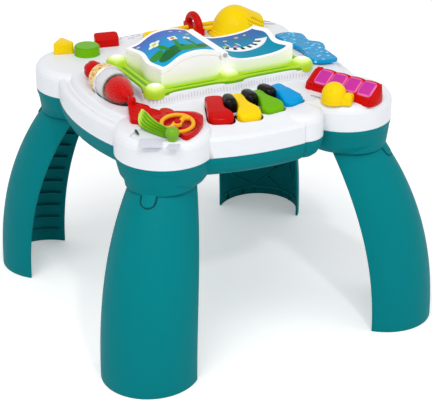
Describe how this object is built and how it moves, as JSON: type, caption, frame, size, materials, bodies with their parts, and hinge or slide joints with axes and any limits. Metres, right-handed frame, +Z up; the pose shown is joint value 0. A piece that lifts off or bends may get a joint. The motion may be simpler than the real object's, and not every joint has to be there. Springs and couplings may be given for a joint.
{
  "type": "musical activity table",
  "caption": "Low square play table on splayed half-pipe legs, with a page-turning light-up book and push, spin, strum, key and slide music toys on top.",
  "frame": {"origin": "centre of the footprint, on the floor", "axes": "+Z up; -Y towards the player at the piano side; +X to the player's right"},
  "size_m": [0.4862, 0.4862, 0.3769],
  "materials": {
    "white_plastic": "smooth",
    "teal_plastic": "satin",
    "red_plastic": "glossy",
    "yellow_plastic": "glossy",
    "green_plastic": "glossy",
    "blue_plastic": "glossy",
    "lime_clear": "translucent",
    "blue_clear": "translucent",
    "magenta_clear": "translucent",
    "clear_plastic": "clear",
    "orange_plastic": "glossy",
    "black_plastic": "glossy",
    "bead_plastic": "glossy",
    "blue_print": "printed",
    "steel": "plated",
    "cell_metal": "satin",
    "rubber": "matte",
    "board": "matte",
    "dark_plastic": "matte",
    "bulb_plastic": "clear"
  },
  "bodies": {
    "table": {"top_shell": "white_plastic", "base_tray": "teal_plastic", "leg_front_left": "teal_plastic", "leg_front_right": "teal_plastic", "leg_back_left": "teal_plastic", "leg_back_right": "teal_plastic", "light_ring": "lime_clear", "light_bulbs": "bulb_plastic", "book_base": "white_plastic", "right_page_print": "blue_print", "page_pin": "steel", "triangle_dome": "rubber", "round_dome": "rubber", "square_dome": "rubber", "button_board": "board", "maraca_knob": "red_plastic", "maraca_axle": "steel", "guitar_body": "red_plastic", "spinner_post": "red_plastic", "strum_post": "steel", "key_pins": "steel", "black_keys": "black_plastic", "accordion_frame": "red_plastic", "accordion_bars": "magenta_clear", "bell_horn": "yellow_plastic", "trombone_rail": "yellow_plastic", "circuit_board": "board", "speaker": "dark_plastic", "battery_box": "white_plastic", "battery_cells": "cell_metal", "battery_contacts": "steel", "battery_door": "teal_plastic", "case_screws": "steel"},
    "page": {"turning_page": "white_plastic", "turning_page_print": "blue_print"},
    "triangle_push": {"triangle_button": "yellow_plastic"},
    "round_push": {"round_button": "green_plastic"},
    "square_push": {"square_button": "red_plastic"},
    "shaker_drum": {"maraca_bulb": "clear_plastic", "maraca_beads": "bead_plastic", "maraca_cone": "red_plastic"},
    "spinner": {"spinner_ring": "orange_plastic"},
    "strummer": {"strum_lever": "green_plastic"},
    "red_piano_key": {"red_key": "red_plastic"},
    "yellow_piano_key": {"yellow_key": "yellow_plastic"},
    "green_piano_key": {"green_key": "green_plastic"},
    "blue_piano_key": {"blue_key": "blue_plastic"},
    "slider": {"slider_knob": "yellow_plastic"},
    "wave": {"wave_plate": "blue_clear"},
    "grip": {"trombone_grip": "red_plastic"},
    "switch": {"power_switch": "orange_plastic"},
    "front_left_latch": {"latch_front_left": "teal_plastic"},
    "front_right_latch": {"latch_front_right": "teal_plastic"},
    "back_left_latch": {"latch_back_left": "teal_plastic"},
    "back_right_latch": {"latch_back_right": "teal_plastic"}
  },
  "joints": [
    {"name": "page_turn", "type": "hinge", "parent": "table", "child": "page", "pos_m": [-0.0025, 0, 0.365], "axis": [0, 1, 0], "range_deg": [0, 174]},
    {"name": "triangle_press", "type": "slide", "parent": "table", "child": "triangle_push", "axis": [0, 0, -1], "range_m": [0, 0.003], "stiffness_N_per_m": 200, "springref_m": -0.002, "deforming": ["triangle_dome"]},
    {"name": "round_press", "type": "slide", "parent": "table", "child": "round_push", "axis": [0, 0, -1], "range_m": [0, 0.003], "stiffness_N_per_m": 200, "springref_m": -0.002, "deforming": ["round_dome"]},
    {"name": "square_press", "type": "slide", "parent": "table", "child": "square_push", "axis": [0, 0, -1], "range_m": [0, 0.003], "stiffness_N_per_m": 200, "springref_m": -0.002, "deforming": ["square_dome"]},
    {"name": "shaker_spin", "type": "hinge", "parent": "table", "child": "shaker_drum", "pos_m": [-0.146, 0, 0.334], "axis": [0, 1, 0], "continuous": true},
    {"name": "spinner_spin", "type": "hinge", "parent": "table", "child": "spinner", "pos_m": [-0.122, -0.151, 0.328], "axis": [-0.0689, -0.1564, 0.9853], "continuous": true},
    {"name": "strum_swing", "type": "hinge", "parent": "table", "child": "strummer", "pos_m": [-0.143, -0.18, 0.33], "axis": [0, 0, 1], "range_deg": [0, 20], "stiffness_Nm_per_rad": 0.02, "springref_deg": -2.86},
    {"name": "red_key_dip", "type": "hinge", "parent": "table", "child": "red_piano_key", "pos_m": [-0.04142, -0.09457, 0.312], "axis": [0.9455, -0.3256, 0], "range_deg": [0, 4], "stiffness_Nm_per_rad": 0.4, "springref_deg": -4.58},
    {"name": "yellow_key_dip", "type": "hinge", "parent": "table", "child": "yellow_piano_key", "pos_m": [-0.01738, -0.10012, 0.312], "axis": [0.9925, -0.1219, 0], "range_deg": [0, 4], "stiffness_Nm_per_rad": 0.4, "springref_deg": -4.58},
    {"name": "green_key_dip", "type": "hinge", "parent": "table", "child": "green_piano_key", "pos_m": [0.00831, -0.10046, 0.312], "axis": [0.9954, 0.0958, 0], "range_deg": [0, 4], "stiffness_Nm_per_rad": 0.4, "springref_deg": -4.58},
    {"name": "blue_key_dip", "type": "hinge", "parent": "table", "child": "blue_piano_key", "pos_m": [0.03346, -0.09523, 0.312], "axis": [0.9511, 0.309, 0], "range_deg": [0, 4], "stiffness_Nm_per_rad": 0.4, "springref_deg": -4.58},
    {"name": "slider_slide", "type": "slide", "parent": "table", "child": "slider", "axis": [-0.4067, 0.9135, 0], "range_m": [0, 0.032]},
    {"name": "wave_press", "type": "slide", "parent": "table", "child": "wave", "axis": [0, 0, -1], "range_m": [0, 0.002], "stiffness_N_per_m": 500, "springref_m": -0.002},
    {"name": "grip_slide", "type": "slide", "parent": "table", "child": "grip", "axis": [-1, 0, 0], "range_m": [0, 0.048]},
    {"name": "switch_slide", "type": "slide", "parent": "table", "child": "switch", "axis": [0, 1, 0], "range_m": [0, 0.008]},
    {"name": "front_left_latch_press", "type": "slide", "parent": "table", "child": "front_left_latch", "axis": [0.5848, 0.5848, -0.5621], "range_m": [0, 0.002], "stiffness_N_per_m": 400, "springref_m": -0.001},
    {"name": "front_right_latch_press", "type": "slide", "parent": "table", "child": "front_right_latch", "axis": [-0.5848, 0.5848, -0.5621], "range_m": [0, 0.002], "stiffness_N_per_m": 400, "springref_m": -0.001},
    {"name": "back_left_latch_press", "type": "slide", "parent": "table", "child": "back_left_latch", "axis": [0.5848, -0.5848, -0.5621], "range_m": [0, 0.002], "stiffness_N_per_m": 400, "springref_m": -0.001},
    {"name": "back_right_latch_press", "type": "slide", "parent": "table", "child": "back_right_latch", "axis": [-0.5848, -0.5848, -0.5621], "range_m": [0, 0.002], "stiffness_N_per_m": 400, "springref_m": -0.001}
  ]
}
